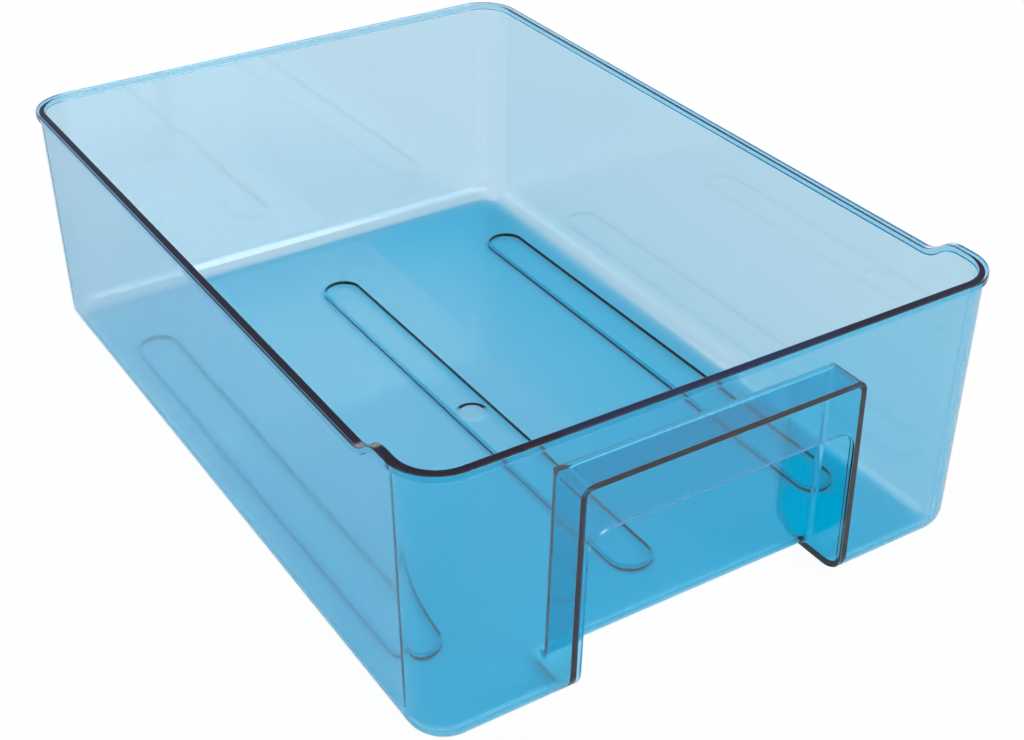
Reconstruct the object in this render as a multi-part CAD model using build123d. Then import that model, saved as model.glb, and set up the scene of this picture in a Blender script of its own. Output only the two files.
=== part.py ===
from build123d import *
from math import radians, tan
import os

# One-piece moulded bin for a refrigerator shelf.
# Millimetres. X runs along the front, the front faces -Y, Z is up.
# The origin is under the middle of the bin, on the plane its runners slide on.

# Rim: level round the sides and back, raised along the front, with a lip turned outwards
RIM_WIDTH = 240.0
RIM_DEPTH = 345.0
RIM_CORNER = 18.0
FRONT_HEIGHT = 114.3
STEP_RISE = 7.0
STEP_SETBACK = 23.5
STEP_RUN = 17.0
LIP_REACH = 1.3
LIP_DEPTH = 3.0
RIM_ROUND = 0.5

# Walls and floor
WALL = 2.4
FLOOR = 2.2
DRAFT = 0.8
BOTTOM_ROUND = 10.5

# Runners pressed down out of the floor, and the gate dimple under the middle one
RUNNER_DROP = 1.5
RUNNER_WIDTH = 16.4
RUNNER_END_GAP = 48.5
RUNNER_SIDE_GAP = 28.7
RUNNER_FLANK = 1.0
GATE_MOUTH = 14.5
GATE_FLAT = 10.2
GATE_DEPTH = 0.9
GATE_FORWARD = 2.5

# Finger pull: a pocket let into the front wall, open in front and below, with a lip left across its top
PULL_WIDTH = 119.0
PULL_DROP = 24.9
PULL_DEPTH = 22.2
PULL_SIDE_DRAFT = 1.3
PULL_BACK_DRAFT = 1.0
PULL_WALL = 2.5
PULL_ROUND = 5.0
PULL_BACK_ROUND = 6.5
PULL_CORNER = 3.6
WINDOW_DROP = 44.9
WINDOW_LEDGE = 1.2
WINDOW_CORNER = 8.0

# Room that a cutting shape takes beyond the faces it cuts
OVERRUN = 20.0

SIDE_HEIGHT = FRONT_HEIGHT - STEP_RISE
FLOOR_TOP = RUNNER_DROP + FLOOR
WALL_WIDTH = RIM_WIDTH - 2 * LIP_REACH
WALL_DEPTH = RIM_DEPTH - 2 * LIP_REACH
WALL_CORNER = RIM_CORNER - LIP_REACH
FRONT = -RIM_DEPTH / 2
AHEAD = FRONT - OVERRUN
BEHIND = RIM_DEPTH / 2 + OVERRUN


def tapered_block(inset, foot):
    """Block hanging from the front rim's level, drafted all round, with its lower edge rounded."""
    outline = RectangleRounded(WALL_WIDTH - 2 * inset, WALL_DEPTH - 2 * inset, WALL_CORNER - inset)
    rim_level = Plane((0, 0, FRONT_HEIGHT), x_dir=(1, 0, 0), z_dir=(0, 0, -1))
    block = extrude(rim_level * outline, amount=FRONT_HEIGHT - foot, taper=DRAFT)
    return fillet(block.edges().group_by(Axis.Z)[0], BOTTOM_ROUND - inset)


def below_rim(drop):
    """Everything under the rim's top line, which steps up towards the front; drop lowers the line."""
    low, high = SIDE_HEIGHT - drop, FRONT_HEIGHT - drop
    step_front = FRONT + STEP_SETBACK
    step_back = step_front + STEP_RUN
    middle = ((step_back + step_front) / 2, (low + high) / 2)
    line = TangentArc((step_back, low), middle, tangent=(-1, 0))
    line += TangentArc((step_front, high), middle, tangent=(1, 0))
    line += Polyline((step_front, high), (AHEAD, high), (AHEAD, -OVERRUN), (BEHIND, -OVERRUN), (BEHIND, low),
                     (step_back, low))
    return extrude(Plane.YZ * make_face(line), amount=RIM_WIDTH, both=True)


def front_view(drop, inset, corner=0):
    """The finger pull's outline from the front, run right through: sides drafted, upper corners rounded."""
    top = FRONT_HEIGHT - drop
    half_widths = []
    for level in (-OVERRUN, top):
        fall = FRONT_HEIGHT - PULL_DROP - level
        half_widths.append(PULL_WIDTH / 2 + fall * tan(radians(PULL_SIDE_DRAFT)) - inset)
    low, high = half_widths
    outline = make_face(Polyline((-low, -OVERRUN), (low, -OVERRUN), (high, top), (-high, top), close=True))
    if corner:
        outline = fillet(outline.vertices().group_by(Axis.Y)[-1], corner)
    return extrude(Plane.XZ.offset(-AHEAD) * outline, amount=2 * AHEAD)


def side_view(inset, floor_level, floor_round, back_round=0):
    """The finger pull's outline from the side, run right across: back leaning, rounded above and below."""
    top = FRONT_HEIGHT - PULL_DROP - inset
    backs = []
    for level in (top, floor_level):
        fall = FRONT_HEIGHT - PULL_DROP - level
        backs.append(FRONT + PULL_DEPTH + fall * tan(radians(PULL_BACK_DRAFT)) - inset)
    head, tail = backs
    end = tail + BOTTOM_ROUND + OVERRUN
    outline = make_face(Polyline((AHEAD, -OVERRUN), (AHEAD, top), (head, top), (tail, floor_level),
                                 (end, floor_level), (end, -OVERRUN), close=True))
    outline = fillet(outline.vertices().sort_by_distance((tail, floor_level))[:1], floor_round)
    if back_round:
        outline = fillet(outline.vertices().sort_by_distance((head, top))[:1], back_round)
    return extrude(Plane.YZ * outline, amount=RIM_WIDTH, both=True)


def pull_block(inset, floor_level, floor_round):
    """Block of the finger pull: its upright rear edges rounded first, then its upper edges."""
    block = front_view(PULL_DROP + inset, inset) & side_view(inset, floor_level, floor_round)
    middle = (FRONT + PULL_DEPTH, (FRONT_HEIGHT - PULL_DROP) / 2)
    rear = []
    for side in (-PULL_WIDTH / 2, PULL_WIDTH / 2):
        rear += block.edges().sort_by_distance((side, *middle))[:1]
    block = fillet(rear, PULL_CORNER - inset)
    block &= front_view(PULL_DROP + inset, inset, PULL_ROUND - inset)
    return block & side_view(inset, floor_level, floor_round, PULL_BACK_ROUND - inset)


def behind_front_wall():
    """Everything behind the front wall's inner face."""
    face_top = FRONT + LIP_REACH + WALL
    face_foot = face_top + (FRONT_HEIGHT + OVERRUN) * tan(radians(DRAFT))
    outline = make_face(Polyline((face_top, FRONT_HEIGHT), (BEHIND, FRONT_HEIGHT), (BEHIND, -OVERRUN),
                                 (face_foot, -OVERRUN), close=True))
    return extrude(Plane.YZ * outline, amount=RIM_WIDTH, both=True)


def floor_slot(grow):
    """Outline of one runner, longways from front to back, grown all round by grow."""
    length = RIM_DEPTH - 2 * RUNNER_END_GAP
    return SlotOverall(length + 2 * grow, RUNNER_WIDTH + 2 * grow, rotation=90)


# Shell and rim lip
outer = tapered_block(0, RUNNER_DROP)
cavity = tapered_block(WALL, FLOOR_TOP)
lip_foot = SIDE_HEIGHT - 2 * LIP_DEPTH
rim_outline = Plane((0, 0, lip_foot)) * RectangleRounded(RIM_WIDTH, RIM_DEPTH, RIM_CORNER)
lip = extrude(rim_outline, amount=FRONT_HEIGHT - lip_foot) - below_rim(LIP_DEPTH)
bin_body = ((outer + lip) & below_rim(0)) - cavity

# Finger pull
pocket = pull_block(PULL_WALL, RUNNER_DROP, BOTTOM_ROUND)
window = front_view(WINDOW_DROP, PULL_WALL + WINDOW_LEDGE, WINDOW_CORNER)
bin_body += pull_block(0, FLOOR_TOP, BOTTOM_ROUND - WALL) & outer
bin_body -= pocket & behind_front_wall()
bin_body -= window - behind_front_wall()

# Runners
runner = extrude(floor_slot(RUNNER_FLANK), amount=FLOOR_TOP)
channel = extrude(Plane((0, 0, FLOOR)) * floor_slot(0), amount=FLOOR_TOP)
for place in GridLocations(RIM_WIDTH / 2 - RUNNER_SIDE_GAP, 0, 3, 1):
    bin_body += place * runner
    bin_body -= place * channel

# Gate dimple
bin_body -= Pos(0, -GATE_FORWARD, GATE_DEPTH / 2) * Cone(GATE_MOUTH / 2, GATE_FLAT / 2, GATE_DEPTH)

# Rounded rim: picked along the front, the rounding follows each edge right round the bin
front_edges = bin_body.edges().filter_by(Axis.X)
top_edges = front_edges.group_by(Axis.Z)[-1].sort_by(SortBy.LENGTH)[-2:]
lip_edge = front_edges.group_by(Axis.Y)[0].sort_by(Axis.Z)[:1]
bin_body = fillet(top_edges + lip_edge, RIM_ROUND)

os.makedirs("parts", exist_ok=True)
export_step(bin_body, "parts/shelf_bin.step")
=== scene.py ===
"""Refrigerator shelf bin of clear blue plastic: finish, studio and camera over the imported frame."""
import math

import bmesh
import bpy
from bpy.props import FloatProperty, FloatVectorProperty, IntProperty, PointerProperty
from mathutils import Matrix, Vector


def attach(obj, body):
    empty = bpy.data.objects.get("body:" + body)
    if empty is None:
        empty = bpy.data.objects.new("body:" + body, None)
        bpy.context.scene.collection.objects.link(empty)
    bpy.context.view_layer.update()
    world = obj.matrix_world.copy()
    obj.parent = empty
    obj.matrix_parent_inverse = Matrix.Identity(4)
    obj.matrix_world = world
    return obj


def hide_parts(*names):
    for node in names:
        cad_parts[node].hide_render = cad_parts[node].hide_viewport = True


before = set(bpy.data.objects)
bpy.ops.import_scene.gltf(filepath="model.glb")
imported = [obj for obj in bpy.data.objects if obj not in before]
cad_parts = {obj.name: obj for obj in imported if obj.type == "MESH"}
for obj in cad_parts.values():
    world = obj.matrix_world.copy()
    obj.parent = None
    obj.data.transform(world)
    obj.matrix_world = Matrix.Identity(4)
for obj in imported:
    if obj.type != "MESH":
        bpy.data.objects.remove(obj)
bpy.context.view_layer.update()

BIN_NODE = "shelf_bin"
BIN_PIECE = "moulded_bin"

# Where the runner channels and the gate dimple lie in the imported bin, in metres
CHANNEL_LOW = 0.002
CHANNEL_MIDDLE = 0.003
CHANNEL_HIGH = 0.004
CHANNEL_REACH = 0.125
GATE_REACH = 0.012

# Angles between faces at the gate's rings, at the channels' edges and within one plane, in radians
RING_ANGLE = math.radians(10)
SHARP_ANGLE = math.radians(60)
FLAT_ANGLE = 0.01

# Merging of vertices in metres, looking up of their normals, and the least cosine within a smooth surface
MERGE_DISTANCE = 1e-6
KEYS_PER_METRE = 1e5
SAME_FACE = 0.6

# Cloudy patches of the plastic: how many to a metre, their detail, and the noise over which they come up
PATCH_SCALE = 22.0
PATCH_DETAIL = 4.0
PATCH_START = 0.45
PATCH_END = 0.75

# Studio: the floor's grey, the camera's sensor in millimetres and its reach in metres, and bounces of light
FLOOR_GREY = 0.9
SENSOR_WIDTH = 36.0
NEAREST_SEEN = 0.01
FARTHEST_SEEN = 50.0
PLASTIC_BOUNCES = 24
FLOOR_BOUNCES = 6
SPAN_NAMES = ("Middle", "Half Width", "Low", "High")
SPAN_HELP = "Middle and half width round the horizon from +Y, then the lower and upper edge above it"

# Sockets of a Mix node that is set to vectors
MIX_FACTOR = 0
MIX_FIRST = 4
MIX_SECOND = 5
MIX_RESULT = 1

bl_info = {
    "name": "Refrigerator shelf bin",
    "version": (1, 0, 0),
    "blender": (4, 5, 0),
    "location": "View3D > Sidebar > Shelf bin",
    "description": "Gives the shelf bin its clear blue plastic and sets it in a white studio",
    "category": "Object",
}


# Settings

class ShelfBinMoulding(bpy.types.PropertyGroup):
    """The moulded bin's softer edges."""

    channel_mouth: FloatProperty(
        name="Channel mouth", description="Rounding of the upper edges of the channels over the runners",
        unit="LENGTH", min=0.0, default=0.0003)
    channel_foot: FloatProperty(
        name="Channel foot", description="Rounding along the foot of the channels over the runners",
        unit="LENGTH", min=0.0, default=0.0001)
    gate_round: FloatProperty(
        name="Gate round", description="Rounding of the edges of the gate dimple",
        unit="LENGTH", min=0.0, default=0.0008)
    gate_depth: FloatProperty(
        name="Gate depth", description="Share of the gate dimple's modelled depth",
        subtype="FACTOR", min=0.0, max=1.0, default=0.5)
    round_segments: IntProperty(
        name="Round segments", description="Faces across each rounding",
        min=1, max=8, default=3)


class ShelfBinPlastic(bpy.types.PropertyGroup):
    """The clear blue plastic of the moulding."""

    tint: FloatVectorProperty(
        name="Tint", description="Colour that the plastic lets through, deepening with the path inside it",
        subtype="COLOR", size=3, min=0.0, max=1.0, default=(0.4375, 0.76, 0.842))
    density: FloatProperty(
        name="Dye density", description="Strength of the dye for each metre of path inside the plastic",
        min=0.0, default=400.0)
    ior: FloatProperty(
        name="Refractive index", description="Refractive index of clear styrene plastic",
        min=1.0, max=2.0, default=1.58)
    roughness: FloatProperty(
        name="Roughness", description="Roughness of the polished mould faces",
        subtype="FACTOR", min=0.0, max=1.0, default=0.035)
    haze: FloatProperty(
        name="Haze", description="Roughness added in the cloudy patches that wiping and handling leave",
        subtype="FACTOR", min=0.0, max=1.0, default=0.03)
    ripple_size: FloatProperty(
        name="Ripple size", description="Width of the shallow sink ripples of the moulded faces",
        unit="LENGTH", min=0.001, default=0.03)
    ripple_height: FloatProperty(
        name="Ripple height", description="Height of the shallow sink ripples",
        unit="LENGTH", min=0.0, default=0.00006)


class ShelfBinStudio(bpy.types.PropertyGroup):
    """The white studio and its camera."""

    camera_place: FloatVectorProperty(
        name="Camera place", description="Where the camera stands",
        subtype="XYZ", unit="LENGTH", size=3, default=(-0.30438, -0.51784, 0.40539))
    camera_aim: FloatVectorProperty(
        name="Camera aim", description="Point in the middle of the picture",
        subtype="XYZ", unit="LENGTH", size=3, default=(-0.00838, -0.04792, 0.05))
    lens: FloatProperty(
        name="Lens", description="Focal length on a sensor 36 mm wide",
        subtype="DISTANCE_CAMERA", min=10.0, default=59.57)
    surround: FloatVectorProperty(
        name="Surround", description="Light of the dim, slightly cool room all round",
        subtype="COLOR", size=3, min=0.0, default=(0.38, 0.39, 0.46))
    backdrop: FloatVectorProperty(
        name="Backdrop",
        description="Light of the bluer part of the room behind the bin, which the rim mirrors",
        subtype="COLOR", size=3, min=0.0, default=(0.35, 0.34, 0.55))
    backdrop_span: FloatVectorProperty(
        name="Backdrop span", description=SPAN_HELP, unit="ROTATION", size=4,
        default=[math.radians(angle) for angle in (10, 55, 20, 48)])
    sweep: FloatProperty(
        name="Sweep", description="Strength of the low white sweep behind the bin",
        min=0.0, default=1.15)
    sweep_span: FloatVectorProperty(
        name="Sweep span", description=SPAN_HELP, unit="ROTATION", size=4,
        default=[math.radians(angle) for angle in (0, 45, -5, 20)])
    side: FloatProperty(
        name="Side panel", description="Strength of the panel at the right",
        min=0.0, default=0.9)
    side_span: FloatVectorProperty(
        name="Side panel span", description=SPAN_HELP, unit="ROTATION", size=4,
        default=[math.radians(angle) for angle in (97, 38, 20, 48)])
    front: FloatProperty(
        name="Front panel", description="Strength of the panel behind the camera",
        min=0.0, default=1.25)
    front_span: FloatVectorProperty(
        name="Front panel span", description=SPAN_HELP, unit="ROTATION", size=4,
        default=[math.radians(angle) for angle in (180, 45, 20, 48)])
    softbox: FloatProperty(
        name="Softbox",
        description="Strength of the narrow softbox in front, mirrored at the foot of the back wall",
        min=0.0, default=2.9)
    softbox_span: FloatVectorProperty(
        name="Softbox span", description=SPAN_HELP, unit="ROTATION", size=4,
        default=[math.radians(angle) for angle in (160, 12, 5, 50)])
    overhead: FloatProperty(
        name="Overhead panel", description="Strength of the large panel overhead",
        min=0.0, default=1.28)
    overhead_span: FloatVectorProperty(
        name="Overhead panel span", description=SPAN_HELP, unit="ROTATION", size=4,
        default=[math.radians(angle) for angle in (0, 90, 48, 95)])
    panel_softness: FloatProperty(
        name="Panel softness", description="Angle over which a panel fades out at its edges",
        subtype="ANGLE", min=0.001, default=math.radians(4))
    saturation: FloatProperty(
        name="Saturation", description="Colour saturation of the middle tones of the finished picture",
        min=0.0, max=2.0, default=1.55)
    light_tones: FloatProperty(
        name="Light tones", description="Level above which the finished picture keeps its own saturation",
        subtype="FACTOR", min=0.0, max=1.0, default=0.5)
    floor_white: FloatProperty(
        name="White floor", description="How far the floor shows plain white to the camera, without shadow",
        subtype="FACTOR", min=0.0, max=1.0, default=0.95)
    floor_size: FloatProperty(
        name="Floor size", description="Side of the square floor",
        unit="LENGTH", min=0.5, default=12.0)
    floor_gap: FloatProperty(
        name="Floor gap", description="Gap under the runners that keeps the two faces apart in the render",
        unit="LENGTH", min=0.0, default=0.0002)


# Nodes

def math_node(tree, operation, *values):
    """Math node on numbers and sockets; returns its output."""
    node = tree.nodes.new("ShaderNodeMath")
    node.operation = operation
    for socket, value in zip(node.inputs, values):
        if isinstance(value, (int, float)):
            socket.default_value = value
        else:
            tree.links.new(value, socket)
    return node.outputs["Value"]


def vector_mix(tree, factor, first, second):
    """Mix node from a first to a second vector or socket; returns its output."""
    node = tree.nodes.new("ShaderNodeMix")
    node.data_type = "VECTOR"
    tree.links.new(factor, node.inputs[MIX_FACTOR])
    for place, value in ((MIX_FIRST, first), (MIX_SECOND, second)):
        if isinstance(value, bpy.types.NodeSocket):
            tree.links.new(value, node.inputs[place])
        else:
            node.inputs[place].default_value = value
    return node.outputs[MIX_RESULT]


# Materials

def new_material(name):
    """Empty node material with its output."""
    material = bpy.data.materials.new(name)
    material.use_nodes = True
    tree = material.node_tree
    tree.nodes.clear()
    output = tree.nodes.new("ShaderNodeOutputMaterial")
    return material, tree, output


def clear_blue_plastic(plastic):
    """Polished transparent plastic with dye in its body, sink ripples and a little haze."""
    material, tree, output = new_material("clear_blue_plastic")
    new, link = tree.nodes.new, tree.links.new

    coordinates = new("ShaderNodeTexCoord")
    ripples = new("ShaderNodeTexNoise")
    ripples.inputs["Scale"].default_value = 1.0 / plastic.ripple_size
    ripples.inputs["Detail"].default_value = 1.0
    link(coordinates.outputs["Object"], ripples.inputs["Vector"])
    bump = new("ShaderNodeBump")
    bump.inputs["Strength"].default_value = 1.0
    bump.inputs["Distance"].default_value = plastic.ripple_height
    link(ripples.outputs["Fac"], bump.inputs["Height"])

    patches = new("ShaderNodeTexNoise")
    patches.inputs["Scale"].default_value = PATCH_SCALE
    patches.inputs["Detail"].default_value = PATCH_DETAIL
    link(coordinates.outputs["Object"], patches.inputs["Vector"])
    cloud = new("ShaderNodeMapRange")
    cloud.inputs["From Min"].default_value = PATCH_START
    cloud.inputs["From Max"].default_value = PATCH_END
    cloud.inputs["To Min"].default_value = plastic.roughness
    cloud.inputs["To Max"].default_value = plastic.roughness + plastic.haze
    link(patches.outputs["Fac"], cloud.inputs["Value"])

    shader = new("ShaderNodeBsdfPrincipled")
    shader.inputs["Base Color"].default_value = (1.0, 1.0, 1.0, 1.0)
    shader.inputs["Transmission Weight"].default_value = 1.0
    shader.inputs["IOR"].default_value = plastic.ior
    link(cloud.outputs["Result"], shader.inputs["Roughness"])
    link(bump.outputs["Normal"], shader.inputs["Normal"])
    link(shader.outputs["BSDF"], output.inputs["Surface"])

    body = new("ShaderNodeVolumeAbsorption")
    body.inputs["Color"].default_value = (*plastic.tint, 1.0)
    body.inputs["Density"].default_value = plastic.density
    link(body.outputs["Volume"], output.inputs["Volume"])
    return material


def white_floor(studio):
    """Matt white floor, burnt out to white where the camera sees it directly."""
    material, tree, output = new_material("white_floor")
    new, link = tree.nodes.new, tree.links.new
    matt = new("ShaderNodeBsdfDiffuse")
    matt.inputs["Color"].default_value = (FLOOR_GREY, FLOOR_GREY, FLOOR_GREY, 1.0)
    white = new("ShaderNodeEmission")
    white.inputs["Strength"].default_value = 1.0
    camera_ray = new("ShaderNodeLightPath").outputs["Is Camera Ray"]
    mix = new("ShaderNodeMixShader")
    link(math_node(tree, "MULTIPLY", camera_ray, studio.floor_white), mix.inputs["Fac"])
    link(matt.outputs["BSDF"], mix.inputs[1])
    link(white.outputs["Emission"], mix.inputs[2])
    link(mix.outputs["Shader"], output.inputs["Surface"])
    return material


# Studio light

def light_panel(softness):
    """Node group: strength of one panel of light as seen in a direction."""
    group = bpy.data.node_groups.new("light_panel", "ShaderNodeTree")
    group.interface.new_socket("Direction", in_out="INPUT", socket_type="NodeSocketVector")
    for name in (*SPAN_NAMES, "Strength"):
        group.interface.new_socket(name, in_out="INPUT", socket_type="NodeSocketFloat")
    group.interface.new_socket("Light", in_out="OUTPUT", socket_type="NodeSocketFloat")
    span = group.nodes.new("NodeGroupInput").outputs
    axes = group.nodes.new("ShaderNodeSeparateXYZ")
    group.links.new(span["Direction"], axes.inputs["Vector"])
    height = math_node(group, "ARCSINE", axes.outputs["Z"])
    round_from_back = math_node(group, "ARCTAN2", axes.outputs["X"], axes.outputs["Y"])
    turn = math_node(group, "SUBTRACT", round_from_back, span["Middle"])
    aside = math_node(group, "ABSOLUTE", math_node(group, "WRAP", turn, math.pi, -math.pi))
    light = span["Strength"]
    for edge, place in ((span["Half Width"], aside), (span["High"], height), (height, span["Low"])):
        fade = group.nodes.new("ShaderNodeMapRange")
        fade.interpolation_type = "SMOOTHSTEP"
        fade.inputs["From Min"].default_value = -softness
        fade.inputs["From Max"].default_value = softness
        group.links.new(math_node(group, "SUBTRACT", edge, place), fade.inputs["Value"])
        light = math_node(group, "MULTIPLY", light, fade.outputs["Result"])
    group.links.new(light, group.nodes.new("NodeGroupOutput").inputs["Light"])
    return group


def studio_surround(studio):
    """World with panels of light in a dim room, plain white where the camera sees it directly."""
    world = bpy.data.worlds.new("studio_surround")
    world.use_nodes = True
    tree = world.node_tree
    new, link = tree.nodes.new, tree.links.new
    coordinates = new("ShaderNodeTexCoord")
    group = light_panel(studio.panel_softness)

    def placed_panel(span, strength):
        """One panel of light; returns its output."""
        panel = new("ShaderNodeGroup")
        panel.node_tree = group
        link(coordinates.outputs["Generated"], panel.inputs["Direction"])
        for name, angle in zip(SPAN_NAMES, span):
            panel.inputs[name].default_value = angle
        panel.inputs["Strength"].default_value = strength
        return panel.outputs["Light"]

    light = 0.0
    for strength, span in ((studio.sweep, studio.sweep_span), (studio.side, studio.side_span),
                           (studio.front, studio.front_span), (studio.softbox, studio.softbox_span),
                           (studio.overhead, studio.overhead_span)):
        light = math_node(tree, "ADD", placed_panel(span, strength), light)
    behind = placed_panel(studio.backdrop_span, 1.0)
    lit_room = new("ShaderNodeVectorMath")
    lit_room.operation = "ADD"
    link(light, lit_room.inputs[0])
    link(vector_mix(tree, behind, studio.surround, studio.backdrop), lit_room.inputs[1])
    camera_ray = new("ShaderNodeLightPath").outputs["Is Camera Ray"]
    seen = vector_mix(tree, camera_ray, lit_room.outputs["Vector"], (1.0, 1.0, 1.0))
    background = tree.nodes["Background"]
    background.inputs["Strength"].default_value = 1.0
    link(seen, background.inputs["Color"])
    return world


def grade(scene, studio):
    """Compositor: colour saturation of the middle tones."""
    scene.use_nodes = True
    tree = scene.node_tree
    tree.nodes.clear()
    layers = tree.nodes.new("CompositorNodeRLayers")
    colour = tree.nodes.new("CompositorNodeColorCorrection")
    colour.midtones_end = studio.light_tones
    colour.midtones_saturation = studio.saturation
    picture = tree.nodes.new("CompositorNodeComposite")
    tree.links.new(layers.outputs["Image"], colour.inputs["Image"])
    tree.links.new(colour.outputs["Image"], picture.inputs["Image"])


# Moulded bin

def corner_key(place):
    """Place of a vertex to a hundredth of a millimetre, for looking it up."""
    return tuple(round(value * KEYS_PER_METRE) for value in place)


def solid_normals(mesh):
    """The solid's own normals by place."""
    found = {}
    for loop, normal in zip(mesh.loops, mesh.corner_normals):
        key = corner_key(mesh.vertices[loop.vertex_index].co)
        found.setdefault(key, []).append(normal.vector.copy())
    return found


def smooth_normal(loop, found, rounded):
    """Normal of one face corner: the solid's own, or else that of the plain faces beside a rounding."""
    facing = loop.face.normal
    own = max(found.get(corner_key(loop.vert.co), ()), key=facing.dot, default=None)
    if own is not None and own.dot(facing) > SAME_FACE:
        return own
    beside = [face for face in loop.vert.link_faces if face.normal.dot(facing) > SAME_FACE]
    plain = [face for face in beside if face not in rounded] or beside
    return sum((face.normal for face in plain), Vector()).normalized()


# Operators

class SHELFBIN_OT_moulding(bpy.types.Operator):
    """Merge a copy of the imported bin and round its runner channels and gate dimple"""
    bl_idname = "shelfbin.moulding"
    bl_label = "Moulded bin"

    def execute(self, context):
        moulding = context.scene.shelfbin_moulding
        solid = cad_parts[BIN_NODE].data
        found = solid_normals(solid)
        mesh = solid.copy()
        mesh.name = BIN_PIECE
        shape = bmesh.new()
        shape.from_mesh(mesh)
        bmesh.ops.remove_doubles(shape, verts=shape.verts, dist=MERGE_DISTANCE)

        gate = {v for v in shape.verts if v.co.xy.length < GATE_REACH and v.co.z < CHANNEL_LOW}
        rings = [e for e in shape.edges if gate.issuperset(e.verts)
                 and RING_ANGLE < e.calc_face_angle() < SHARP_ANGLE]
        for vertex in gate:
            vertex.co.z *= moulding.gate_depth
        channels = [e for e in shape.edges if e.calc_face_angle() > SHARP_ANGLE
                    and all(CHANNEL_LOW < v.co.z < CHANNEL_HIGH for v in e.verts)
                    and all(abs(v.co.y) < CHANNEL_REACH for v in e.verts)]
        mouths = [e for e in channels if e.verts[0].co.z > CHANNEL_MIDDLE]
        feet = [e for e in channels if e.verts[0].co.z < CHANNEL_MIDDLE]
        if not (rings and mouths and feet):
            raise RuntimeError("the gate dimple or the runner channels weren't found")
        rounded = set()
        for edges, offset in ((rings, moulding.gate_round), (feet, moulding.channel_foot),
                              (mouths, moulding.channel_mouth)):
            flats = list(dict.fromkeys(face for edge in edges for face in edge.link_faces))
            bmesh.ops.join_triangles(shape, faces=flats, angle_face_threshold=FLAT_ANGLE,
                                     angle_shape_threshold=math.pi)
            made = bmesh.ops.bevel(shape, geom=edges, offset=offset, offset_type="OFFSET", affect="EDGES",
                                   segments=moulding.round_segments, profile=0.5, clamp_overlap=True,
                                   material=-1)
            rounded.update(made["faces"])
        shape.normal_update()
        normals = [smooth_normal(loop, found, rounded) for face in shape.faces for loop in face.loops]
        shape.to_mesh(mesh)
        shape.free()

        mesh.attributes.remove(mesh.attributes["custom_normal"])
        mesh.shade_smooth()
        mesh.normals_split_custom_set(normals)
        piece = bpy.data.objects.new(BIN_PIECE, mesh)
        context.scene.collection.objects.link(piece)
        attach(piece, "root")
        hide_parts(BIN_NODE)
        return {"FINISHED"}


class SHELFBIN_OT_plastic(bpy.types.Operator):
    """Give the moulded bin its clear blue plastic"""
    bl_idname = "shelfbin.plastic"
    bl_label = "Clear blue plastic"

    def execute(self, context):
        material = clear_blue_plastic(context.scene.shelfbin_plastic)
        for piece in (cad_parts[BIN_NODE], bpy.data.objects[BIN_PIECE]):
            for slot in piece.material_slots:
                slot.material = material
        return {"FINISHED"}


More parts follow.
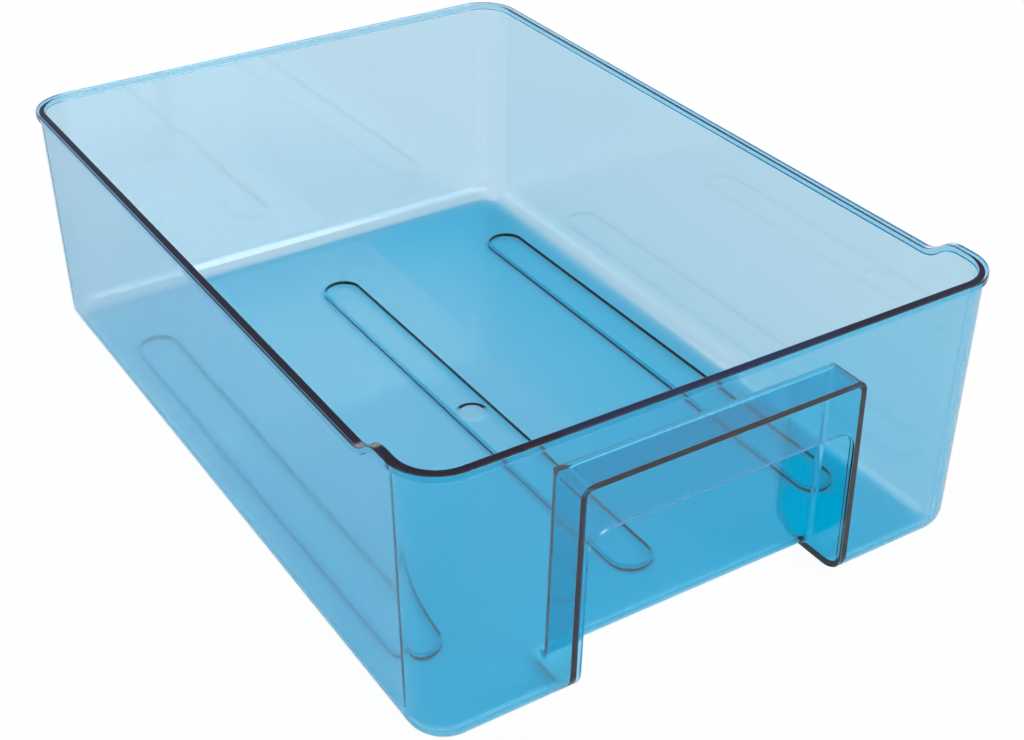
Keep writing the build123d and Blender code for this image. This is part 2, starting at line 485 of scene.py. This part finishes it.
class SHELFBIN_OT_studio(bpy.types.Operator):
    """Set up the white floor, the panels of light, the camera and the grade"""
    bl_idname = "shelfbin.studio"
    bl_label = "White studio"

    def execute(self, context):
        scene = context.scene
        studio = scene.shelfbin_studio

        half = studio.floor_size / 2
        mesh = bpy.data.meshes.new("studio_floor")
        corners = [(-half, -half), (half, -half), (half, half), (-half, half)]
        mesh.from_pydata([(x, y, -studio.floor_gap) for x, y in corners], [], [(0, 1, 2, 3)])
        mesh.materials.append(white_floor(studio))
        floor = bpy.data.objects.new("studio_floor", mesh)
        scene.collection.objects.link(floor)

        scene.world = studio_surround(studio)

        data = bpy.data.cameras.new("photo_camera")
        data.sensor_fit = "HORIZONTAL"
        data.sensor_width = SENSOR_WIDTH
        data.lens = studio.lens
        data.clip_start = NEAREST_SEEN
        data.clip_end = FARTHEST_SEEN
        camera = bpy.data.objects.new("photo_camera", data)
        place = Vector(studio.camera_place)
        camera.location = place
        camera.rotation_euler = (Vector(studio.camera_aim) - place).to_track_quat("-Z", "Y").to_euler()
        scene.collection.objects.link(camera)
        scene.camera = camera

        grade(scene, studio)
        scene.view_settings.view_transform = "Standard"
        scene.cycles.max_bounces = PLASTIC_BOUNCES
        scene.cycles.transmission_bounces = PLASTIC_BOUNCES
        scene.cycles.glossy_bounces = PLASTIC_BOUNCES
        scene.cycles.diffuse_bounces = FLOOR_BOUNCES
        scene.cycles.caustics_refractive = True
        scene.cycles.caustics_reflective = True
        scene.cycles.blur_glossy = 0.0
        return {"FINISHED"}


class SHELFBIN_PT_sidebar(bpy.types.Panel):
    """Shelf bin finish and studio"""
    bl_idname = "SHELFBIN_PT_sidebar"
    bl_label = "Shelf bin"
    bl_space_type = "VIEW_3D"
    bl_region_type = "UI"
    bl_category = "Shelf bin"

    def draw(self, context):
        for settings, operator in ((context.scene.shelfbin_moulding, SHELFBIN_OT_moulding),
                                   (context.scene.shelfbin_plastic, SHELFBIN_OT_plastic),
                                   (context.scene.shelfbin_studio, SHELFBIN_OT_studio)):
            box = self.layout.box()
            for name in settings.__annotations__:
                box.prop(settings, name)
            box.operator(operator.bl_idname)


CLASSES = (ShelfBinMoulding, ShelfBinPlastic, ShelfBinStudio, SHELFBIN_OT_moulding, SHELFBIN_OT_plastic,
           SHELFBIN_OT_studio, SHELFBIN_PT_sidebar)


def register():
    """Register the classes and hang their settings on the scene."""
    for cls in CLASSES:
        bpy.utils.register_class(cls)
    bpy.types.Scene.shelfbin_moulding = PointerProperty(type=ShelfBinMoulding)
    bpy.types.Scene.shelfbin_plastic = PointerProperty(type=ShelfBinPlastic)
    bpy.types.Scene.shelfbin_studio = PointerProperty(type=ShelfBinStudio)


def unregister():
    """Take the settings off the scene and unregister the classes."""
    del bpy.types.Scene.shelfbin_studio
    del bpy.types.Scene.shelfbin_plastic
    del bpy.types.Scene.shelfbin_moulding
    for cls in reversed(CLASSES):
        bpy.utils.unregister_class(cls)


def main():
    """Make the bin and its studio."""
    register()
    bpy.ops.shelfbin.moulding()
    bpy.ops.shelfbin.plastic()
    bpy.ops.shelfbin.studio()


if __name__ == "__main__":
    main()
